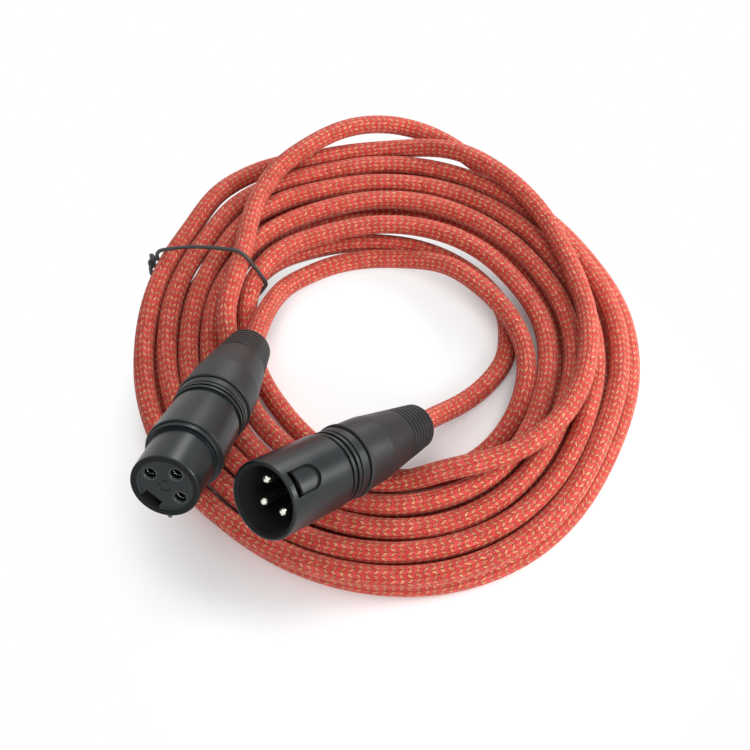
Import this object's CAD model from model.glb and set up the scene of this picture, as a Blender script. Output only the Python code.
import bmesh
import bpy
import numpy as np
from mathutils import Matrix, Vector


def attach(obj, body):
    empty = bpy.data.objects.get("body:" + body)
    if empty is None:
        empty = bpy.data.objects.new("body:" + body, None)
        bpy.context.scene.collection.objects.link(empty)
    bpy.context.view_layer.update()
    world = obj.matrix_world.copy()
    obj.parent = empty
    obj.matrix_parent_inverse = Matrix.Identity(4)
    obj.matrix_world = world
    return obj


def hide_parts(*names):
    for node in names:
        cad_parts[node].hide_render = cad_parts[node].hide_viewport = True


bl_info = {
    "name": "Braided audio cable",
    "version": (1, 0, 0),
    "blender": (4, 5, 0),
    "location": "3D View > Sidebar > Cable",
    "description": "Dresses a coiled, braided audio cable and its two plugs",
    "category": "Object",
}

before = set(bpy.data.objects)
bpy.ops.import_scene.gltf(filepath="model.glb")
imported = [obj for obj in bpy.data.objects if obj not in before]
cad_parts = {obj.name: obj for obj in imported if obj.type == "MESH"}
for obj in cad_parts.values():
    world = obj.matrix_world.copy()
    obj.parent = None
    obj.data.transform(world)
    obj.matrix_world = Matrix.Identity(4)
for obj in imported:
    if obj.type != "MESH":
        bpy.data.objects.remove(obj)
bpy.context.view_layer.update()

MM = 0.001
CABLE_BODY = "cable"


# ---- sizes and colours that a user would change ------------------------------

class CABLE_PG_cord(bpy.types.PropertyGroup):
    """Sizes and colours of the braided cord"""
    diameter: bpy.props.FloatProperty(
        name="Diameter", description="Cord over its braid",
        default=0.0058, unit="LENGTH")
    length: bpy.props.FloatProperty(
        name="Length", description="Real length of the cord between its plugs",
        default=3.8, unit="LENGTH")
    inner_radius: bpy.props.FloatProperty(
        name="Inner turn", description="Radius of the innermost turn of the pile",
        default=0.0461, unit="LENGTH")
    turn_gap: bpy.props.FloatProperty(
        name="Turn gap", description="Air between neighbouring turns",
        default=0.0005, unit="LENGTH")
    layer_gap: bpy.props.FloatProperty(
        name="Layer gap", description="Air between the two layers of turns",
        default=0.0005, unit="LENGTH")
    loose_radius: bpy.props.FloatProperty(
        name="Loose loop", description="Radius that the loose top loop swings out to",
        default=0.083, unit="LENGTH")
    cross_radius: bpy.props.FloatProperty(
        name="Crossing strand", description="Radius of the top strand on the right",
        default=0.0585, unit="LENGTH")
    rows: bpy.props.IntProperty(
        name="Braid rows", description="Rows of slanting threads round the cord",
        default=14, min=4)
    pitch: bpy.props.FloatProperty(
        name="Braid pitch", description="Length of one repeat of the braid",
        default=0.0021, unit="LENGTH")
    rib_depth: bpy.props.FloatProperty(
        name="Rib depth", description="How deep the lines between rows lie",
        default=0.00016, unit="LENGTH")
    thread: bpy.props.FloatVectorProperty(
        name="Thread", description="Red main thread", subtype="COLOR",
        default=(0.82, 0.056, 0.045))
    fleck: bpy.props.FloatVectorProperty(
        name="Fleck", description="Pale gold thread", subtype="COLOR",
        default=(0.74, 0.34, 0.16))
    hollow: bpy.props.FloatVectorProperty(
        name="Hollow", description="Depth between threads", subtype="COLOR",
        default=(0.12, 0.010, 0.009))


class CABLE_PG_tie(bpy.types.PropertyGroup):
    """Sizes and colour of the elastic tie"""
    diameter: bpy.props.FloatProperty(
        name="Diameter", description="Elastic over its cover",
        default=0.00115, unit="LENGTH")
    knot: bpy.props.FloatProperty(
        name="Knot", description="Width of the knot", default=0.0032, unit="LENGTH")
    colour: bpy.props.FloatVectorProperty(
        name="Colour", description="Elastic cover", subtype="COLOR",
        default=(0.012, 0.012, 0.013))


class CABLE_PG_plugs(bpy.types.PropertyGroup):
    """Finishes of both plugs"""
    shell: bpy.props.FloatVectorProperty(
        name="Shell", description="Satin black plating", subtype="COLOR",
        default=(0.004, 0.007, 0.008))
    moulding: bpy.props.FloatVectorProperty(
        name="Mouldings", description="Inserts, rings and latch", subtype="COLOR",
        default=(0.004, 0.007, 0.008))
    boot: bpy.props.FloatVectorProperty(
        name="Boots", description="Matt black boots", subtype="COLOR",
        default=(0.011, 0.012, 0.013))
    contact: bpy.props.FloatVectorProperty(
        name="Contacts", description="Silver plating of pins and sockets",
        subtype="COLOR", default=(0.86, 0.83, 0.76))
    spring: bpy.props.FloatVectorProperty(
        name="Spring steel", description="Latch spring and hinge pin",
        subtype="COLOR", default=(0.55, 0.55, 0.54))
    core: bpy.props.FloatVectorProperty(
        name="Cores", description="Insulation of the three cores",
        subtype="COLOR", default=(0.52, 0.48, 0.40))
    edge: bpy.props.FloatProperty(
        name="Edge softness", description="Radius to which sharp edges look worn",
        default=0.0002, unit="LENGTH")


class CABLE_PG_stage(bpy.types.PropertyGroup):
    """Camera, floor and light"""
    camera_at: bpy.props.FloatVectorProperty(
        name="Camera", description="Place of the camera", subtype="TRANSLATION",
        default=(-0.00353, -0.16124, 0.24604))
    camera_tilt: bpy.props.FloatProperty(
        name="Camera tilt", description="Camera's turn up from straight down",
        default=np.radians(31.12), subtype="ANGLE")
    lens: bpy.props.FloatProperty(
        name="Lens", description="Focal length on a 36 mm sensor",
        default=46.84, unit="CAMERA")
    sky: bpy.props.FloatProperty(
        name="Sky", description="Strength of the light from all round", default=0.42)
    key: bpy.props.FloatProperty(
        name="Key light", description="Power of the low lamp on the right",
        default=2.2, unit="POWER")
    top: bpy.props.FloatProperty(
        name="Top light", description="Power of the large soft lamp overhead",
        default=1.5, unit="POWER")
    back: bpy.props.FloatProperty(
        name="Back light", description="Power of the lamp on the far side",
        default=1.6, unit="POWER")
    near: bpy.props.FloatProperty(
        name="Near light", description="Power of the lamp on the near right",
        default=1.7, unit="POWER")
    floor: bpy.props.FloatVectorProperty(
        name="Floor", description="White floor", subtype="COLOR",
        default=(0.96, 0.96, 0.965))


# ---- where things are, in millimetres -------------------------------------------

# Origin of the coil in the row frame, and the middle of its turns, which are a
# little narrower than they are deep
coil_at = np.array([0.2, -8.4, 0.0])
turns_at = coil_at + [-1, 2, 0]
squeeze = 0.97
# Share by which the turns lie wider apart on the far side
far_spread = 0.06
# Turn angles, in degrees, at which the coil starts and ends
first_angle, last_angle = 25, 3715
# How far the cord runs on inside each boot
inside_boot = 27.0
# Points of the two free ends, from the origin of the coil
male_tail = [[14.2, -20.6, 5.6], [19, -17.2, 3.4], [24.2, -13.2, 2.4],
             [29, -8.7, 2.3], [32.9, -3.5, 2.3], [35.4, 1.6, 2.3]]
female_tail = [[-37.1, 3.2, 13.5], [-36.4, 8.2, 11.4], [-35.4, 13.1, 9.3],
               [-34, 18, 7.1], [-32.2, 22.7, 4.9], [-29.7, 26.8, 3.2]]
# The latch window of the male shell: how far behind the face it starts, its length
# and width, and where its round end has its middle
window_z, window_length, window_width = 1.6, 9, 6.2
window_arc_z = window_z + window_length - window_width / 2


def turned(axis, degrees):
    """Rotation matrix about one axis, 1 for y and 2 for z."""
    return np.array(Matrix.Rotation(np.radians(degrees), 3, "XYZ"[axis]))


class Plug:
    """Frame of a plug: local z = 0 is its front face, +z runs to the cord and
    +x points at its window or latch. Millimetres in, metres out."""

    def __init__(self, face, turn, tilt, roll, length):
        self.face = np.array(face)
        self.axes = turned(2, turn) @ turned(1, 90 + tilt) @ turned(2, 90 + roll)
        self.length = length

    def at(self, points):
        """Local points, in mm, as points of the row frame, in metres."""
        return (self.face + np.asarray(points, float) @ self.axes.T) * MM

    def along(self, z):
        """Point on the plug's axis at distance z, in mm of the row frame."""
        return self.face + z * self.axes[:, 2]


male = Plug(coil_at + [-28.7, -64.3, 44.8], turn=45.5, tilt=32.7, roll=117.3,
            length=61.3)
female = Plug(coil_at + [-49.7, -63.6, 51.1], turn=79, tilt=29.4, roll=306,
              length=66.5)


# ---- the cord's route, in millimetres ---------------------------------------------

def ramp(x, low, high):
    """Smooth step from 0 at low to 1 at high: 3t squared less 2t cubed."""
    t = np.clip((x - low) / (high - low), 0, 1)
    return t * t * (3 - 2 * t)


def course(stations, x):
    """Value at x of [place, value] stations joined by smooth steps."""
    value = np.full_like(x, stations[0][1], dtype=float)
    for (x0, v0), (x1, v1) in zip(stations, stations[1:]):
        value += (v1 - v0) * ramp(x, x0, x1)
    return value


def coil_radius(cord, angles):
    """Distance from the middle at turn angles, in degrees: four turns wind out on
    the ground, a loose loop crosses the top, four wind in above, one lies inside.
    Where turns wind, it grows or shrinks evenly with the angle."""
    d = cord.diameter / MM
    inner_r = cord.inner_radius / MM
    loose_r = cord.loose_radius / MM
    cross_r = cord.cross_radius / MM
    pitch = (d + cord.turn_gap / MM) / (1 - far_spread)
    # Angles at which the ground turns end, and the upper ones start and end
    out_end, second, in_end = 1485, 1897, 3384
    out_r = inner_r + pitch * (out_end - first_angle) / 360
    # The upper turns start about as far out as the ground turns end
    second_r = inner_r + 4.09 * pitch
    in_r = second_r - pitch * (in_end - second) / 360
    # The first turn starts further in, where the free end leaves it
    first_in = 6
    outward = (inner_r + pitch * (angles - first_angle) / 360
               - first_in * (1 - ramp(angles, 85, 150)))
    loose = course([(out_end, out_r), (1522, loose_r), (1604, inner_r + 1.2),
                    (1640, inner_r - 1.7), (1720, inner_r - 3.1), (1785, cross_r),
                    (1806, cross_r + 1), (1890, second_r + 0.2), (second, second_r)],
                   angles)
    inward = second_r - pitch * (angles - second) / 360
    last = course([(in_end, in_r), (3456, inner_r - 10.9), (3562, inner_r - 1.2),
                   (3655, inner_r - 11), (3685, inner_r - 10.8), (3740, inner_r - 8.1)],
                  angles)
    r = np.select([angles < out_end, angles < second, angles < in_end],
                  [outward, loose, inward], last)
    # Every turn stands out on the near side, outer turns do on the right and far
    # on the left, and the innermost upper turn leans in on the far side
    near_bulge, left_bulge, right_bulge, lean_in = 3.2, 3.5, 2, 2.6
    t = angles % 360
    near = near_bulge * (ramp(t, 225, 295) - ramp(t, 297, 345))
    sides = (left_bulge * (ramp(t, 106, 124) - ramp(t, 132, 150))
             + right_bulge * (1 - ramp(t, 5, 30) + ramp(t, 325, 355)))
    lean = lean_in * (ramp(angles, 3240, 3275) - ramp(angles, 3345, 3380))
    # A hand-wound coil wavers, so that no two turns keep the same gap
    waver = 0.32 * np.sin(0.031 * angles + 1) + 0.22 * np.sin(0.079 * angles)
    return (r + waver + np.where(angles < in_end, near, 0)
            + np.maximum(0, r - inner_r) / (out_r - inner_r) * sides - lean)


def coil_points(cord, angles):
    """Points of the coil at turn angles, in degrees: the cosine and the sine of the
    angle times the radius, at the height of the layer that the cord lies on."""
    d = cord.diameter / MM
    # The turns sink into what they lie on, and rise over the tie under them
    flat, tie_thick, tie_air, tied_until = d / 10, 1.4, 0.25, 3456
    layers = course([(1495, 0), (1548, 2), (1612, 2), (1645, 1), (1712, 1), (1737, 2),
                     (1866, 2), (1892, 1), (3392, 1), (3448, 0), (3545, 0), (3588, 1),
                     (3645, 1), (3685, 0)], angles)
    t = angles % 360
    over_tie = (tie_thick + flat + tie_air) * (ramp(t, 118, 142) - ramp(t, 164, 188))
    over_tie = np.where(angles > tied_until, 0, over_tie)
    r = coil_radius(cord, angles)
    a = np.radians(angles)
    spread = far_spread * (r - cord.inner_radius / MM)
    return np.stack([turns_at[0] + squeeze * r * np.cos(a),
                     turns_at[1] + spread + r * np.sin(a),
                     d / 2 - flat + (d + cord.layer_gap / MM) * layers + over_tie], axis=1)


def route_points(cord):
    """Points that the cord passes, from inside the male boot to inside the female
    one: straight through each boot, along the free end, and round the coil."""
    past_boot, spacing = cord.diameter / MM, 4.1
    straight = np.arange(-inside_boot, past_boot + 0.1, spacing)
    out = np.array([male.along(male.length + z) for z in straight])
    back = np.array([female.along(female.length + z) for z in straight])[::-1]
    angles = np.append(np.arange(first_angle, last_angle, 5), last_angle).astype(float)
    coil = coil_points(cord, angles)
    lead_in = 2 * coil[0] - coil[1]
    lead_out = 2 * coil[-1] - coil[-2]
    return np.concatenate([out, coil_at + male_tail, [lead_in], coil, [lead_out],
                           (coil_at + female_tail)[::-1], back])


def resampled(points, step):
    """The same line with points at equal distances along it."""
    along = np.concatenate([[0], np.cumsum(
        np.linalg.norm(np.diff(points, axis=0), axis=1))])
    count = max(2, int(round(along[-1] / step)) + 1)
    even = np.linspace(0, along[-1], count)
    return np.stack([np.interp(even, along, points[:, k]) for k in range(3)], axis=1)


def through(points, per_span):
    """A Catmull-Rom curve through the points: on each span a cubic whose slope at
    a point is half the way from the one before it to the one after."""
    p = np.concatenate([[2 * points[0] - points[1]], points,
                        [2 * points[-1] - points[-2]]])
    t = np.linspace(0, 1, per_span, endpoint=False)[None, :, None]
    a, b, c, d = (p[k:len(p) - 3 + k, None, :] for k in range(4))
    curve = 0.5 * (2 * b + (c - a) * t + (2 * a - 5 * b + 4 * c - d) * t ** 2
                   + (3 * b - a - 3 * c + d) * t ** 3)
    return np.concatenate([curve.reshape(-1, 3), points[-1:]])


def relaxed(points, reach, keep):
    """The line blurred along itself by a bell curve of that reach, in points, as
    a stiff cord rounds off its bends; the first and last keep points stay."""
    n = 3 * reach
    bell = np.exp(-0.5 * (np.arange(-n, n + 1) / reach) ** 2)
    bell /= bell.sum()
    before = 2 * points[0] - points[n:0:-1]
    after = 2 * points[-1] - points[-2:-n - 2:-1]
    padded = np.concatenate([before, points, after])
    soft = np.stack([np.convolve(padded[:, k], bell, "valid") for k in range(3)], 1)
    i = np.arange(len(points))
    from_end = np.minimum(i, len(points) - 1 - i).astype(float)
    share = ramp(from_end, keep, keep + 4 * reach)
    return points + share[:, None] * (soft - points)


def cord_route(cord):
    """The whole centreline at equal steps, in millimetres: the curve through the
    points of its route, with its bends rounded off outside the boots."""
    fine_step, stiff_reach, per_span = 0.5, 7, 8
    fine = resampled(through(route_points(cord), per_span), fine_step)
    # At this step the braided mesh stays just under 200,000 triangles
    step = 2.2
    return resampled(relaxed(fine, stiff_reach, int(inside_boot / fine_step)), step)


# ---- the tie's lines, in millimetres ------------------------------------------------

def tie_points(cord):
    """Points of the tie round the pile of turns, and the way in which it runs out.
    Its outline stands upright over its foot, as [distance, height]."""
    heading, foot_angle, foot_in = np.radians(163.5), np.radians(152.4), 4
    out = np.array([np.cos(heading), np.sin(heading), 0])
    foot_r = cord.inner_radius / MM - foot_in
    foot = turns_at + foot_r * np.array([squeeze * np.cos(foot_angle),
                                         np.sin(foot_angle), 0])
    outline = np.array([
        [6.3, .7], [16, .7], [26.5, .7], [29, 1.7], [30.1, 3.3], [33.5, 8.6],
        [34.1, 10.8], [33.5, 12.9], [31.4, 14.6], [24, 16.6], [16.6, 18.8],
        [8.2, 21], [5.8, 20.9], [3.9, 19.4], [-.1, 13.3], [-.9, 11], [-.5, 9],
        [2.7, 2.8], [4.2, 1.3]])
    along, height = outline[:, :1], outline[:, 1:]
    # The top of the band bows a little towards the far side
    bow = 2.2 * ramp(along, -2, 12) * (1 - ramp(along, 22, 35))
    bow = np.where(height > 12, bow, 0)
    far, up = np.array([out[1], -out[0], 0]), np.array([0, 0, 1])
    return foot + along * out + height * up + bow * far, out


def tie_line(points):
    """The closed line of the band at equal steps: a curve through its points, which
    are lapped at both ends, with a short straight stretch under the turns."""
    lap, per_span, step = 2, 8, 0.5
    curve = through(np.concatenate([points[-lap:], points, points[:lap]]), per_span)
    ring = curve[lap * per_span:-lap * per_span - 1]
    return resampled(np.concatenate([ring, ring[:1]]), step)[:-1]


def knot_axes(out):
    """Axes of the knot as columns: the first hangs down beside the coil, and the
    third, its thin side, lies as near to the way out as it can."""
    hang = np.array([-0.10, -0.74, -0.66])
    hang /= np.linalg.norm(hang)
    thin = out - (out @ hang) * hang
    thin /= np.linalg.norm(thin)
    return np.stack([hang, np.cross(thin, hang), thin], axis=1)


def knot_line(width, count):
    """A trefoil knot on its own axes: [sin t + 2 sin 2t, cos t - 2 cos 2t,
    -sin 3t], stretched along its first and third axes."""
    t = np.linspace(0, 2 * np.pi, count, endpoint=False)
    trefoil = np.stack([np.sin(t) + 2 * np.sin(2 * t), np.cos(t) - 2 * np.cos(2 * t),
                        -np.sin(3 * t)], axis=1)
    return trefoil * [1.15, 0.72, 1.2] * width / 6


# ---- surfaces ---------------------------------------------------------------------

def grid_object(name, points, wrap_rows=False, wrap_columns=True, uv=None):
    """A mesh from a grid of points, rows by columns, each cell a four-sided face.
    Either way round can close on itself. uv gives each corner's place on the
    pattern, with one more row and column than the points where the grid closes."""
    rows, columns = points.shape[:2]
    cell_rows = rows if wrap_rows else rows - 1
    cell_columns = columns if wrap_columns else columns - 1
    i, j = np.meshgrid(np.arange(cell_rows), np.arange(cell_columns), indexing="ij")
    corners = [(i, j), (i, j + 1), (i + 1, j + 1), (i + 1, j)]
    faces = np.stack([(a % rows) * columns + b % columns for a, b in corners], -1)
    faces = faces.reshape(-1, 4)
    mesh = bpy.data.meshes.new(name)
    mesh.vertices.add(rows * columns)
    mesh.vertices.foreach_set("co", points.astype(np.float32).ravel())
    mesh.loops.add(faces.size)
    mesh.loops.foreach_set("vertex_index", faces.astype(np.int32).ravel())
    mesh.polygons.add(len(faces))
    mesh.polygons.foreach_set("loop_start", np.arange(0, faces.size, 4, dtype=np.int32))
    mesh.update(calc_edges=True)
    if uv is not None:
        at = np.stack([uv[a, b] for a, b in corners], axis=2).reshape(-1, 2)
        layer = mesh.uv_layers.new(name="weave")
        layer.data.foreach_set("uv", at.astype(np.float32).ravel())
    mesh.polygons.foreach_set("use_smooth", np.ones(len(faces), bool))
    mesh.validate()
    piece = bpy.data.objects.new(name, mesh)
    bpy.context.scene.collection.objects.link(piece)
    return piece


def merged(piece):
    """Points that lie on one another made one, and every face turned outwards."""
    work = bmesh.new()
    work.from_mesh(piece.data)
    bmesh.ops.remove_doubles(work, verts=work.verts, dist=1e-6)
    bmesh.ops.recalc_face_normals(work, faces=work.faces)
    work.to_mesh(piece.data)
    work.free()
    return piece


def capped(points):
    """The same grid with its first and last ring drawn in to their middles."""
    first, last = (np.broadcast_to(ring.mean(axis=1, keepdims=True), ring.shape)
                   for ring in (points[:1], points[-1:]))
    return np.concatenate([first, points, last])


def swept(path, radius, turn, closed=False, up=(0, 0, 1)):
    """A profile carried along a line: each ring's point is the centre plus its
    radius times cos(turn) sideways and sin(turn) up. Sideways is square to the
    line and to up, and up is then turned square to both."""
    if closed:
        along = np.roll(path, -1, axis=0) - np.roll(path, 1, axis=0)
    else:
        along = np.gradient(path, axis=0)
    along /= np.linalg.norm(along, axis=1, keepdims=True)
    side = np.cross(along, np.array(up, float))
    side /= np.linalg.norm(side, axis=1, keepdims=True)
    rise = np.cross(side, along)
    return (path[:, None] + radius[..., None] * (np.cos(turn)[..., None] * side[:, None]
            + np.sin(turn)[..., None] * rise[:, None]))


def tube(path, radius, sides, closed=False, up=(0, 0, 1)):
    """A round tube: a circle carried along a line, with one radius for the whole
    line or one for each of its points."""
    turn = np.linspace(0, 2 * np.pi, sides, endpoint=False)
    return swept(path, np.reshape(radius, (-1, 1)), turn, closed, up)


def weave_map(along, repeats_round, sides):
    """Places of a tube's corners on a woven pattern: along the tube as given, and
    round it in even parts of the repeats that go once round."""
    turn = np.linspace(0, 2 * np.pi, sides + 1)
    return np.stack(np.broadcast_arrays(
        along[:, None], turn[None] / (2 * np.pi) * repeats_round), axis=2)


def lathed(name, profile, place, sides):
    """A closed profile of [distance from the axis, height] turned round an axis: its
    distance times cos and sin of the turn, at its height. place carries local
    points to the row frame."""
    a = np.linspace(0, 2 * np.pi, sides, endpoint=False)
    local = np.stack([profile[:, :1] * np.cos(a), profile[:, :1] * np.sin(a),
                      np.repeat(profile[:, 1:], sides, axis=1)], axis=2)
    return merged(grid_object(name, place(local), wrap_rows=True))


# ---- small forms of the female face, in millimetres -----------------------------------

def hole_lip(name, centre):
    """A round bead that circles a hole of the face: a circle of [distance + thick
    times cos, height - thick times sin] turned round the hole's axis."""
    distance, height, thick = 1.62, 0.40, 0.13
    turn = np.linspace(0, 2 * np.pi, 12, endpoint=False)
    profile = np.stack([distance + thick * np.cos(turn),
                        height - thick * np.sin(turn)], axis=1)
    return lathed(name, profile, lambda local: female.at(local + [*centre, 0]), 48)


def rim_line():
    """The line where the rim's inner edge catches the light: a fine tube along an
    arc round the plug's axis, which ends on either side of the keyway."""
    arc_r, height, thick = 6.43, 0.36, 0.10
    turn = np.radians(np.linspace(22, 338, 90))
    arc = np.stack([arc_r * np.cos(turn), arc_r * np.sin(turn),
                    np.full_like(turn, height)], axis=1)
    grid = tube(female.at(arc), thick * MM, 12, up=female.axes[:, 2])
    return merged(grid_object("rim_line", capped(grid)))


def rim_nib():
    """A small nib that stands out of the rim where its mould was filled: four
    corners at its root and four nearer together at its tip, closed at both ends."""
    turn = np.radians(317)
    out = np.array([np.cos(turn), np.sin(turn), 0])
    side = np.array([-np.sin(turn), np.cos(turn), 0])
    rings = []
    for reach, half, low, high in ((7.7, 0.75, 0.2, 1.5), (8.85, 0.22, 0.5, 1.1)):
        corners = ((-half, low), (half, low), (half, high), (-half, high))
        rings.append([reach * out + w * side + [0, 0, z] for w, z in corners])
    return merged(grid_object("rim_nib", capped(female.at(rings))))


# ---- materials --------------------------------------------------------------------

class Nodes:
    """The node tree of a material or a world, filled by the kinds of its nodes."""

    def __init__(self, owner):
        owner.use_nodes = True
        self.tree = owner.node_tree
        self.tree.nodes.clear()

    def add(self, kind, inputs=None, **settings):
        """A new node. An input that is given a socket is joined to it, and any other
        value is set on the input."""
        node = self.tree.nodes.new("ShaderNode" + kind)
        for key, value in settings.items():
            setattr(node, key, value)
        for key, value in (inputs or {}).items():
            if isinstance(value, bpy.types.NodeSocket):
                self.tree.links.new(value, node.inputs[key])
            else:
                node.inputs[key].default_value = value
        return node

    def math(self, operation, *values):
        """The result of that operation on numbers."""
        return self.add("Math", dict(enumerate(values)), operation=operation).outputs[0]

    def vector(self, operation, *values):
        """The vector that the operation makes of vectors."""
        node = self.add("VectorMath", dict(enumerate(values)), operation=operation)
        return node.outputs["Vector"]

    def measure(self, operation, *values):
        """The number that the operation makes of vectors."""
        node = self.add("VectorMath", dict(enumerate(values)), operation=operation)
        return node.outputs["Value"]

    def step(self, value, low, high):
        """0 at low, 1 at high and smooth between; low may be the greater."""
        return self.add("MapRange", {0: value, 1: low, 2: high},
                        interpolation_type="SMOOTHSTEP").outputs[0]

    def line(self, value, low, high, at_low, at_high):
        """at_low at low, at_high at high and a straight line between."""
        return self.add("MapRange", {0: value, 1: low, 2: high, 3: at_low,
                                     4: at_high}).outputs[0]

    def seen_plainly(self):
        """1 for rays that come from the camera or by way of metal or glass, else 0."""
        path = self.add("LightPath").outputs
        passed_on = self.math("MAXIMUM", path["Is Glossy Ray"],
                              path["Is Transmission Ray"])
        return self.math("MAXIMUM", path["Is Camera Ray"], passed_on)


class Finish(Nodes):
    """A material and its nodes."""

    def __init__(self, name):
        self.material = bpy.data.materials.new(name)
        super().__init__(self.material)

    def place(self):
        """The point's own place on the piece."""
        return self.add("TexCoord").outputs["Object"]

    def weave(self):
        """The point's place on the woven pattern."""
        return self.add("UVMap", uv_map="weave").outputs[0]

    def mix(self, share, a, b):
        """The colour a with that share of b in it."""
        inputs = {0: share}
        for key, colour in ((6, a), (7, b)):
            joined = isinstance(colour, bpy.types.NodeSocket)
            inputs[key] = colour if joined else (*colour, 1)
        return self.add("Mix", inputs, data_type="RGBA").outputs[2]

    def noise(self, vector, scale, detail=2.0, roughness=0.5):
        """A number about 0.5 that changes from place to place."""
        return self.add("TexNoise", {"Vector": vector, "Scale": scale,
                        "Detail": detail, "Roughness": roughness}).outputs[0]

    def worn(self, radius):
        """The surface's direction, with sharp edges softened to that radius."""
        return self.add("Bevel", {"Radius": radius}, samples=6).outputs[0]

    def bump(self, height, strength, distance, normal=None):
        """The surface's direction, or the one given, roughened by a height."""
        inputs = {"Height": height, "Strength": strength, "Distance": distance}
        if normal is not None:
            inputs["Normal"] = normal
        return self.add("Bump", inputs).outputs[0]

    def surface(self, **inputs):
        """The main shader, with inputs named as Blender names them."""
        words = {key.replace("_", " "): value for key, value in inputs.items()}
        shader = self.add("BsdfPrincipled", words)
        self.add("OutputMaterial", {"Surface": shader.outputs[0]})
        return self.material


def scaled(colour, *shares):
    """A colour with each of its three parts times its own share."""
    return [part * share for part, share in zip(colour, shares)]


def braid_finish(cord):
    """Herringbone braid on the weave map, whose first axis counts repeats along
    the cord and whose second counts rows round it. A thread's place is the first
    axis plus a zigzag of the second, so threads slant one way in a row and the
    other way in the next. Each whole number of that place in a row is a stitch,
    with a chance of its own."""
    f = Finish("braided_jacket")
    weave = f.weave()
    axes = f.add("SeparateXYZ", {0: weave}).outputs
    along, across = axes[0], axes[1]
    # Threads slant over a row, and lie a little unevenly along it and beside it
    slope, unevenness = 0.62, 0.85
    uneven = f.add("CombineXYZ", {0: f.math("MULTIPLY", along, 0.9),
                                  1: f.math("MULTIPLY", across, 1.1)}).outputs[0]
    wander = f.math("SUBTRACT", f.noise(uneven, 1.0, 3.0, 0.6), 0.5)
    slant = f.math("MULTIPLY_ADD", f.math("PINGPONG", across, 1.0), slope, along)
    slant = f.math("MULTIPLY_ADD", wander, unevenness, slant)
    phase, row = f.math("FRACT", slant), f.math("FRACT", across)
    stitch = f.add("CombineXYZ", {0: f.math("FLOOR", slant), 1: f.math("FLOOR", across)})
    chance = f.add("TexWhiteNoise", {"Vector": stitch.outputs[0]},
                   noise_dimensions="2D").outputs[0]

    def crowned(value):
        """A hill over 0 to 1, one high in the middle: 4 times value times 1 less
        value, and no less than 0."""
        hill = f.math("MULTIPLY", f.math("MULTIPLY", value, 4.0),
                      f.math("SUBTRACT", 1.0, value))
        return f.math("MAXIMUM", 0.0, hill)

    # One pale thread, then two red ones, in each repeat
    pale = 0.38
    red_width = (1 - pale) / 2
    across_crown = crowned(row)
    pale_crown = crowned(f.math("DIVIDE", phase, pale))
    red_phase = f.math("DIVIDE", f.math("SUBTRACT", phase, pale), red_width)
    red_crown = crowned(f.math("FRACT", red_phase))
    is_pale = f.math("LESS_THAN", phase, pale)
    crown = f.add("Mix", {0: is_pale, 2: red_crown, 3: pale_crown}).outputs[0]
    # Fibres run along each thread; specks and patches differ from place to place
    fibres = f.add("CombineXYZ", {0: f.math("MULTIPLY", slant, 16.0),
                                  1: f.math("MULTIPLY", across, 2.4)}).outputs[0]
    fibre = f.noise(fibres, 1.0, 2.0, 0.6)
    speck = f.noise(weave, 4.6, 2.0, 0.7)
    patch = f.noise(uneven, 0.13, 2.0)
    deep = scaled(cord.thread, 0.45, 0.40, 0.45)
    light = [min(1, part + 0.02) for part in scaled(cord.thread, 1.25, 2.2, 2.4)]
    thread = f.mix(f.step(speck, 0.38, 0.58), deep, cord.thread)
    thread = f.mix(f.math("MULTIPLY", f.step(chance, 0.2, 1.0), 0.4), thread, light)
    thread = f.mix(f.math("MULTIPLY", f.step(fibre, 0.50, 0.70), 0.5), thread, light)
    thread = f.mix(f.math("MULTIPLY", f.step(patch, 0.45, 0.7), 0.25), thread, deep)
    # The pale thread shows as a short dash in the middle of its row, and brown
    # at its ends, where it goes under
    dash = f.step(f.math("MULTIPLY", pale_crown, f.math("POWER", across_crown, 2.0)),
                  0.08, 0.36)
    bright = f.step(f.math("ADD", speck, f.math("MULTIPLY", chance, 0.25)), 0.44, 0.72)
    gold = f.mix(bright, scaled(cord.fleck, 0.60, 0.46, 0.34), cord.fleck)
    ends = f.math("MULTIPLY", f.step(pale_crown, 0.2, 0.8),
                  f.step(across_crown, 0.7, 0.3))
    brown = scaled(cord.fleck, 0.20, 0.17, 0.12)
    # Between the threads and between the rows it is darker
    depth = f.math("MULTIPLY", f.step(crown, -0.25, 0.55),
                   f.step(across_crown, -0.4, 0.4))
    colour = f.mix(dash, thread, gold)
    colour = f.mix(f.math("MULTIPLY_ADD", depth, 0.86, 0.14), cord.hollow, colour)
    colour = f.mix(f.math("MULTIPLY", ends, 0.75), colour, brown)
    height = f.math("ADD", f.math("MULTIPLY", f.math("SQRT", crown), 0.5),
                    f.math("MULTIPLY", f.math("SQRT", across_crown), 0.5))
    height = f.math("MULTIPLY_ADD", fibre, 0.2, height)
    thread_height = 0.00042
    return f.surface(Base_Color=colour, Roughness=0.55, Specular_IOR_Level=0.3,
                     Sheen_Weight=0.22, Sheen_Roughness=0.35,
                     Sheen_Tint=(1.0, 0.55, 0.5, 1.0),
                     Normal=f.bump(height, 1.0, thread_height))


def aged(f, place, colour, dust):
    """A slow noise over the piece, and its colour, which gets a little lighter with
    that noise."""
    slow = f.noise(place, 90.0, 3.0, 0.55)
    lighter = [part * 1.35 + 0.004 for part in colour]
    return slow, f.mix(f.math("MULTIPLY", f.step(slow, 0.35, 0.7), dust * 2),
                       colour, lighter)


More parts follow.
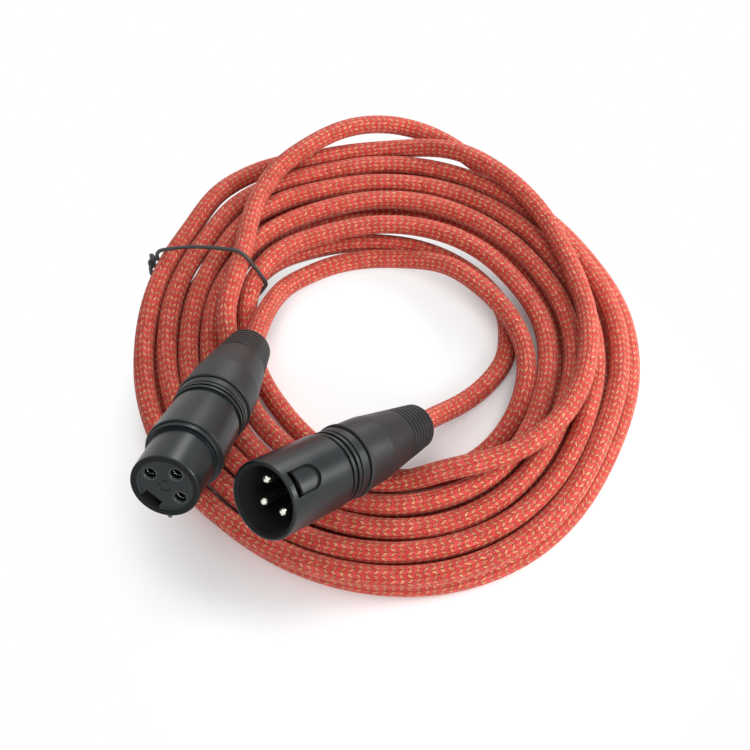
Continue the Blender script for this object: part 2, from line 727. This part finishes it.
def moulded_finish(name, colour, roughness, grain, grain_depth, edge,
                   specular=0.38, dust=0.12):
    """A moulded or rubber skin: fine grain in the surface, slow changes of gloss
    and shade, and edges that look softened by use."""
    f = Finish(name)
    place = f.place()
    slow, shade = aged(f, place, colour, dust)
    gloss = f.line(slow, 0.3, 0.7, roughness * 0.88, roughness * 1.14)
    fine = f.noise(place, 1 / grain, 3.0, 0.6)
    return f.surface(Base_Color=shade, Roughness=gloss, Specular_IOR_Level=specular,
                     Normal=f.bump(fine, 0.35, grain_depth, f.worn(edge)))


def mouth_share(f, place, plug, rim, bore):
    """1 inside a plug's mouth and on the inner part of its rim: where a point is
    nearer to the plug's axis than a radius that narrows from rim to bore behind the
    face. A point's distance from the axis is the length of the cross product of the
    axis and the way from the face to the point."""
    arm = f.vector("SUBTRACT", place, tuple(plug.face * MM))
    axis = tuple(plug.axes[:, 2])
    along = f.measure("DOT_PRODUCT", arm, axis)
    away = f.measure("LENGTH", f.vector("CROSS_PRODUCT", arm, axis))
    radius = f.line(along, 0.0006, 0.0010, rim * MM, bore * MM)
    return f.math("MULTIPLY", f.math("LESS_THAN", away, radius),
                  f.step(along, -0.0008, -0.0003))


def window_share(f, place):
    """1 on a line round the latch window, where its recess meets the shell. A
    point's distance from the window's edge is the length of its local y and of its
    z past the middle of the round end, less half the width."""
    arm = f.vector("SUBTRACT", place, tuple(male.face * MM))
    x, y, z = (f.measure("DOT_PRODUCT", arm, tuple(axis / MM)) for axis in male.axes.T)
    past = f.math("MAXIMUM", f.math("SUBTRACT", z, window_arc_z), 0.0)
    squares = f.math("ADD", f.math("POWER", y, 2.0), f.math("POWER", past, 2.0))
    away = f.math("SUBTRACT", f.math("SQRT", squares), window_width / 2)
    on_edge = f.math("MULTIPLY", f.step(away, -0.70, -0.45), f.step(away, 0.12, 0.0))
    on_panel = f.math("MULTIPLY", f.step(z, window_z - 0.2, window_z),
                      f.math("GREATER_THAN", x, 5.0))
    return f.math("MULTIPLY", on_edge, on_panel)


def shell_finish(plugs):
    """Satin plating that is deep black and duller inside a plug's mouth, on the
    inner part of its rim and round its latch window."""
    f = Finish("satin_black_plating")
    place = f.place()
    mouths = f.math("MAXIMUM", mouth_share(f, place, male, rim=8.95, bore=8.6),
                    mouth_share(f, place, female, rim=7.7, bore=6.7))
    dark = f.math("MAXIMUM", mouths, f.math("MULTIPLY", window_share(f, place), 0.9))
    slow, shade = aged(f, place, plugs.shell, 0.12)
    shade = f.mix(dark, shade, scaled(plugs.shell, 0.15, 0.15, 0.15))
    gloss = f.math("MULTIPLY_ADD", dark, 0.55, f.line(slow, 0.3, 0.7, 0.27, 0.36))
    fine = f.noise(place, 4500.0, 3.0, 0.6)
    return f.surface(Base_Color=shade, Roughness=gloss, Specular_IOR_Level=0.34,
                     Normal=f.bump(fine, 0.35, 0.00002, f.worn(plugs.edge)))


def metal_finish(name, colour, roughness, edge):
    """Bare or plated metal whose gloss and shade change finely with wear."""
    f = Finish(name)
    place = f.place()
    fine = f.noise(place, 4200.0, 2.0)
    gloss = f.line(fine, 0.3, 0.7, roughness * 0.8, roughness * 1.25)
    shade = f.mix(f.math("MULTIPLY", f.noise(place, 600.0, 2.0), 0.4), colour,
                  scaled(colour, 0.78, 0.78, 0.78))
    return f.surface(Base_Color=shade, Metallic=1.0, Roughness=gloss,
                     Normal=f.bump(fine, 0.2, 0.00002, f.worn(edge)))


def elastic_finish(tie):
    """Fine crossing cover threads on the weave map of the tie: the sine of the sum
    of both axes times the sine of their difference."""
    f = Finish("elastic_cover")
    axes = f.add("SeparateXYZ", {0: f.weave()}).outputs
    left, right = (
        f.math("SINE", f.math("MULTIPLY", f.math(way, axes[0], axes[1]), 2 * np.pi))
        for way in ("ADD", "SUBTRACT"))
    height = f.math("MULTIPLY", left, right)
    colour = f.mix(f.step(height, -0.6, 0.9), scaled(tie.colour, 0.5, 0.5, 0.5),
                   [part * 2.2 + 0.01 for part in tie.colour])
    return f.surface(Base_Color=colour, Roughness=0.38, Specular_IOR_Level=0.6,
                     Normal=f.bump(height, 0.5, 0.00008))


def floor_finish(stage):
    """White that shows the object's shadow by the turns and is plain white away
    from them, and half so in the open middle of the coil."""
    f = Finish("white_floor")
    plain = f.add("BsdfDiffuse", {"Color": (*stage.floor, 1)})
    glow = f.add("Emission", {"Color": (1, 1, 1, 1), "Strength": 1.0})
    place = f.place()
    from_object = f.measure("DISTANCE", place, (0.008, -0.045, 0))
    outside = f.step(from_object, 0.062, 0.095)
    in_coil = f.step(f.measure("LENGTH", place), 0.05, 0.02)
    glowing = f.math("MULTIPLY_ADD", in_coil, 0.5, outside)
    share = f.math("MULTIPLY", f.seen_plainly(), glowing)
    both = f.add("MixShader", {0: share, 1: plain.outputs[0], 2: glow.outputs[0]})
    f.add("OutputMaterial", {"Surface": both.outputs[0]})
    return f.material


def soft_room(strength):
    """A world that lights from all round, more from above, and is plain white
    where it is seen."""
    world = bpy.data.worlds.new("soft_room")
    w = Nodes(world)
    generated = w.add("TexCoord").outputs["Generated"]
    height = w.add("SeparateXYZ", {0: generated}).outputs[2]
    rise = w.line(height, 0.0, 1.0, strength * 0.5, strength * 1.25)
    sky = w.add("Background", {"Strength": rise})
    white = w.add("Background", {"Color": (1, 1, 1, 1)})
    choice = w.add("MixShader", {0: w.seen_plainly(), 1: sky.outputs[0],
                                 2: white.outputs[0]})
    w.add("OutputWorld", {"Surface": choice.outputs[0]})
    return world


def dress(nodes, material):
    """Give CAD nodes a material."""
    for name in nodes:
        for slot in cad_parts[name].material_slots:
            slot.material = material


def finish_piece(piece, material, slot, *nodes):
    """Material, body, slot and the CAD nodes that a new piece stands for."""
    piece.data.materials.append(material)
    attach(piece, CABLE_BODY)
    if nodes:
        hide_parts(*nodes)


# ---- operators ----------------------------------------------------------------------

class CABLE_OT_camera(bpy.types.Operator):
    """Place the camera"""
    bl_idname = "cable.camera"
    bl_label = "Camera"

    def execute(self, context):
        stage = context.scene.cable_stage
        data = bpy.data.cameras.new("camera")
        data.lens = stage.lens
        data.sensor_width = 36
        data.clip_start, data.clip_end = 0.01, 20
        camera = bpy.data.objects.new("camera", data)
        camera.location = stage.camera_at
        camera.rotation_euler = (stage.camera_tilt, 0, 0)
        context.scene.collection.objects.link(camera)
        context.scene.camera = camera
        return {"FINISHED"}


class CABLE_OT_cord(bpy.types.Operator):
    """Make the braided cord from plug to plug"""
    bl_idname = "cable.cord"
    bl_label = "Braided cord"

    def execute(self, context):
        cord = context.scene.cable_cord
        path = cord_route(cord)
        sides_per_row = 4
        sides = cord.rows * sides_per_row
        length = np.linalg.norm(np.diff(path, axis=0), axis=1).sum()
        s = np.linspace(0, length, len(path))
        turn = np.linspace(0, 2 * np.pi, sides, endpoint=False)
        # The rows wind slowly round the cord, once in about 0.7 m, and unevenly
        wind = s / 110 + 0.5 * np.sin(s / 173) + 0.3 * np.sin(s / 61 + 1)
        # Each row is a ridge, the root of half a sine wave, with a sharp line beside it
        ridge = np.sqrt(np.abs(np.sin(turn * cord.rows / 2)))
        radius = cord.diameter / MM / 2 - cord.rib_depth / MM * (1 - ridge)
        grid = swept(path, radius, turn + wind[:, None])
        # The cord is pressed flat where it lies on the floor
        grid[..., 2] = np.maximum(grid[..., 2], 0.0)
        uv = weave_map(s / (cord.pitch / MM), cord.rows, sides)
        piece = grid_object("braided_cord", grid * MM, uv=uv)
        finish_piece(piece, braid_finish(cord), "braid", "cable_coil", "male_tail",
                     "female_tail", "male_cord_end", "female_cord_end")
        return {"FINISHED"}


class CABLE_OT_tie(bpy.types.Operator):
    """Make the elastic tie, its knot and its two cut ends"""
    bl_idname = "cable.tie"
    bl_label = "Tie"

    def execute(self, context):
        tie = context.scene.cable_tie
        cover = elastic_finish(tie)
        # Six cover threads go round; each piece has its own share of a thread's
        # repeat from one ring to the next
        radius, sides, threads = tie.diameter / MM / 2, 12, 6
        points, out = tie_points(context.scene.cable_cord)
        line = tie_line(points)
        grid = tube(line, radius, sides, closed=True, up=np.cross(out, [0, 0, 1]))
        uv = weave_map(np.arange(len(line) + 1) * 0.8, threads, sides)
        band = merged(grid_object("tie_elastic", grid * MM, wrap_rows=True, uv=uv))
        finish_piece(band, cover, "elastic", "tie_band")

        # The knot hangs beside the coil, where the band turns up
        axes = knot_axes(out)
        middle = points[5] + 2.5 * out + 0.3 * axes[:, 0]
        line = middle + knot_line(tie.knot / MM, 90) @ axes.T
        grid = tube(line, radius, sides, closed=True,
                    up=axes @ np.array([0.02, 0.03, 1]))
        uv = weave_map(np.arange(len(line) + 1) * 0.5, threads, sides)
        knot = merged(grid_object("tie_knot_loops", grid * MM, wrap_rows=True, uv=uv))
        finish_piece(knot, cover, "elastic", "tie_knot")

        # Each cut end bends down from the knot and flares where it is cut
        for k, tip in enumerate(([3.6, 0.9, -0.1], [4.3, -0.4, 0.2]), 1):
            bend = np.array([[0, 0, 0], np.array(tip) * 0.5 + [0, 0.3, 0.3], tip])
            line = resampled(through(middle + bend @ axes.T, 12), 0.25)
            flare = 1 + 0.25 * ramp(np.linspace(0, 1, len(line)), 0.85, 1.0)
            grid = capped(tube(line, radius * flare, sides))
            uv = weave_map(np.arange(len(grid)) * 0.4, threads, sides)
            end = merged(grid_object(f"tie_end_{k}", grid * MM, uv=uv))
            finish_piece(end, cover, "elastic")
        return {"FINISHED"}


class CABLE_OT_shells(bpy.types.Operator):
    """Finish the shells, inserts, rings and the latch"""
    bl_idname = "cable.shells"
    bl_label = "Shells and mouldings"

    def execute(self, context):
        plugs = context.scene.cable_plugs
        dress(["male_shell", "female_shell"], shell_finish(plugs))
        dress(["male_insert", "female_insert"], moulded_finish(
            "smooth_black_moulding", plugs.moulding, roughness=0.30, grain=0.0003,
            grain_depth=0.00002, edge=plugs.edge))
        dress(["male_ring", "female_ring", "male_chuck", "female_chuck",
               "female_latch"], moulded_finish(
            "black_moulding", plugs.moulding, roughness=0.42, grain=0.0002,
            grain_depth=0.00003, edge=plugs.edge))
        return {"FINISHED"}


class CABLE_OT_boots(bpy.types.Operator):
    """Finish the boots"""
    bl_idname = "cable.boots"
    bl_label = "Boots"

    def execute(self, context):
        plugs = context.scene.cable_plugs
        dress(["male_boot", "female_boot"], moulded_finish(
            "matt_black_boot", plugs.boot, roughness=0.46, grain=0.00016,
            grain_depth=0.00004, edge=plugs.edge * 1.6, specular=0.36, dust=0.2))
        return {"FINISHED"}


class CABLE_OT_contacts(bpy.types.Operator):
    """Finish the pins, sockets, hinge pin, spring and cores"""
    bl_idname = "cable.contacts"
    bl_label = "Contacts and cores"

    def execute(self, context):
        plugs = context.scene.cable_plugs
        contacts = [f"{kind}_{i}" for kind in ("male_pin", "female_socket")
                    for i in (1, 2, 3)]
        dress(contacts, metal_finish("silver_plating", plugs.contact, 0.22, 0.0001))
        dress(["female_latch_pin", "female_latch_spring"],
              metal_finish("spring_steel", plugs.spring, 0.34, 0.0001))
        dress(["male_wires", "female_wires"], moulded_finish(
            "core_insulation", plugs.core, roughness=0.4, grain=0.0003,
            grain_depth=0.00002, edge=0.0001))
        return {"FINISHED"}


class CABLE_OT_face_details(bpy.types.Operator):
    """Add the small lips, rim line and nib of the female face"""
    bl_idname = "cable.face_details"
    bl_label = "Face details"

    def execute(self, context):
        plugs = context.scene.cable_plugs
        paler = [part * 4 + 0.03 for part in plugs.moulding]
        skin = moulded_finish("face_trim", paler, roughness=0.2, grain=0.0003,
                              grain_depth=0.00001, edge=0.00005)
        circle_r = 4.25
        holes = ((0, circle_r), (0, -circle_r), (-circle_r, 0))
        for i, centre in enumerate(holes, 1):
            finish_piece(hole_lip(f"hole_lip_{i}", centre), skin, "insert")
        finish_piece(rim_line(), skin, "insert")
        finish_piece(rim_nib(), skin, "shell")
        return {"FINISHED"}


class CABLE_OT_stage(bpy.types.Operator):
    """Make the floor and the light"""
    bl_idname = "cable.stage"
    bl_label = "Stage"

    def execute(self, context):
        stage = context.scene.cable_stage
        half = 1.6
        corners = np.array([[[-half, -half, 0], [half, -half, 0]],
                            [[-half, half, 0], [half, half, 0]]])
        floor = grid_object("floor", corners, wrap_columns=False)
        floor.data.materials.append(floor_finish(stage))
        context.scene.world = soft_room(stage.sky)
        # Round lamps of these widths, powers and places point at the coil
        for name, width, power, at in (
                ("key_light", 0.20, stage.key, (0.55, 0.02, 0.20)),
                ("top_light", 0.55, stage.top, (0.05, -0.02, 0.62)),
                ("back_light", 0.25, stage.back, (0.15, 0.50, 0.28)),
                ("near_light", 0.32, stage.near, (0.24, -0.45, 0.28))):
            data = bpy.data.lights.new(name, "AREA")
            data.shape = "DISK"
            data.size = width
            data.energy = power
            lamp = bpy.data.objects.new(name, data)
            lamp.location = at
            lamp.rotation_euler = (-Vector(at)).to_track_quat("-Z", "Y").to_euler()
            context.scene.collection.objects.link(lamp)
        context.scene.view_settings.view_transform = "Standard"
        return {"FINISHED"}


class CABLE_PT_panel(bpy.types.Panel):
    """Sizes, finishes and steps of the cable"""
    bl_idname = "CABLE_PT_panel"
    bl_label = "Audio cable"
    bl_space_type = "VIEW_3D"
    bl_region_type = "UI"
    bl_category = "Cable"

    def draw(self, context):
        for title, name, _ in SETTINGS:
            box = self.layout.box()
            box.label(text=title)
            group = getattr(context.scene, name)
            for key in group.__annotations__:
                box.prop(group, key)
        for step in STEPS:
            self.layout.operator(step.bl_idname)


SETTINGS = [("Cord", "cable_cord", CABLE_PG_cord), ("Tie", "cable_tie", CABLE_PG_tie),
            ("Plugs", "cable_plugs", CABLE_PG_plugs),
            ("Stage", "cable_stage", CABLE_PG_stage)]
STEPS = [CABLE_OT_camera, CABLE_OT_cord, CABLE_OT_tie, CABLE_OT_shells, CABLE_OT_boots,
         CABLE_OT_contacts, CABLE_OT_face_details, CABLE_OT_stage]


def register():
    for _, name, group in SETTINGS:
        bpy.utils.register_class(group)
        setattr(bpy.types.Scene, name, bpy.props.PointerProperty(type=group))
    for step in STEPS:
        bpy.utils.register_class(step)
    bpy.utils.register_class(CABLE_PT_panel)


def unregister():
    bpy.utils.unregister_class(CABLE_PT_panel)
    for step in reversed(STEPS):
        bpy.utils.unregister_class(step)
    for _, name, group in reversed(SETTINGS):
        delattr(bpy.types.Scene, name)
        bpy.utils.unregister_class(group)


def main():
    register()
    bpy.ops.cable.camera()
    bpy.ops.cable.cord()
    bpy.ops.cable.tie()
    bpy.ops.cable.shells()
    bpy.ops.cable.boots()
    bpy.ops.cable.contacts()
    bpy.ops.cable.face_details()
    bpy.ops.cable.stage()


if __name__ == "__main__":
    main()
